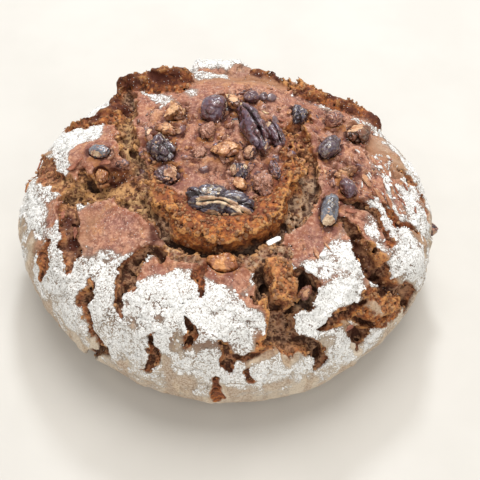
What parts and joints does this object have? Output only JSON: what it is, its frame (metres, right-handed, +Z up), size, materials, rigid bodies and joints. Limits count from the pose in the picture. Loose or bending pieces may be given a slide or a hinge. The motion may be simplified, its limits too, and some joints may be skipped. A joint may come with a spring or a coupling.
{
  "type": "walnut bread loaf",
  "caption": "Round free-baked walnut loaf with a torn, flour-dusted crust, open crumb in the cracks and walnut kernels baked into the top.",
  "frame": {"origin": "middle of the flat base the loaf rests on", "axes": "+Z up, +X along the loaf's longest side; the lip of the torn cap faces -Y"},
  "size_m": [0.2027, 0.186, 0.0906],
  "materials": {
    "crust": "matte baked crust, reddish brown, dusted with white flour in broken patches; tan and orange-brown open crumb in the tears",
    "walnut_dark": "blackened walnut skin, glossy, blue-grey to purple-brown",
    "walnut_toasted": "toasted walnut skin, satin, red-brown",
    "walnut_pale": "broken walnut flesh, pale tan to orange, toasted edges",
    "flour": "dry white flour, fine clumps"
  },
  "bodies": {
    "root": {"loaf": "crust", "walnut_lip": "walnut_dark", "walnut_left": "walnut_dark", "walnut_left_pale": "walnut_pale", "walnut_left_back": "walnut_pale", "walnut_left_front": "walnut_toasted", "walnut_round": "walnut_dark", "walnut_round_chip": "walnut_pale", "walnut_crown": "walnut_dark", "walnut_crown_side": "walnut_dark", "walnut_back_small": "walnut_dark", "walnut_centre": "walnut_pale", "walnut_centre_right": "walnut_toasted", "walnut_centre_left": "walnut_toasted", "walnut_middle": "walnut_toasted", "walnut_front_dark": "walnut_dark", "walnut_front_lump": "walnut_toasted", "walnut_front_pale": "walnut_pale", "walnut_right_slim": "walnut_toasted", "walnut_back_grey": "walnut_dark", "walnut_back_brown": "walnut_toasted", "walnut_back_pale": "walnut_pale", "walnut_right": "walnut_dark", "walnut_right_cave": "walnut_toasted", "walnut_right_long": "walnut_pale", "walnut_right_round": "walnut_dark", "walnut_right_grey": "walnut_dark", "walnut_left_blue": "walnut_dark", "walnut_cave": "walnut_pale", "walnut_under_lip": "walnut_pale", "walnut_front_hole": "walnut_toasted", "walnut_right_edge": "walnut_dark"}
  },
  "joints": []
}
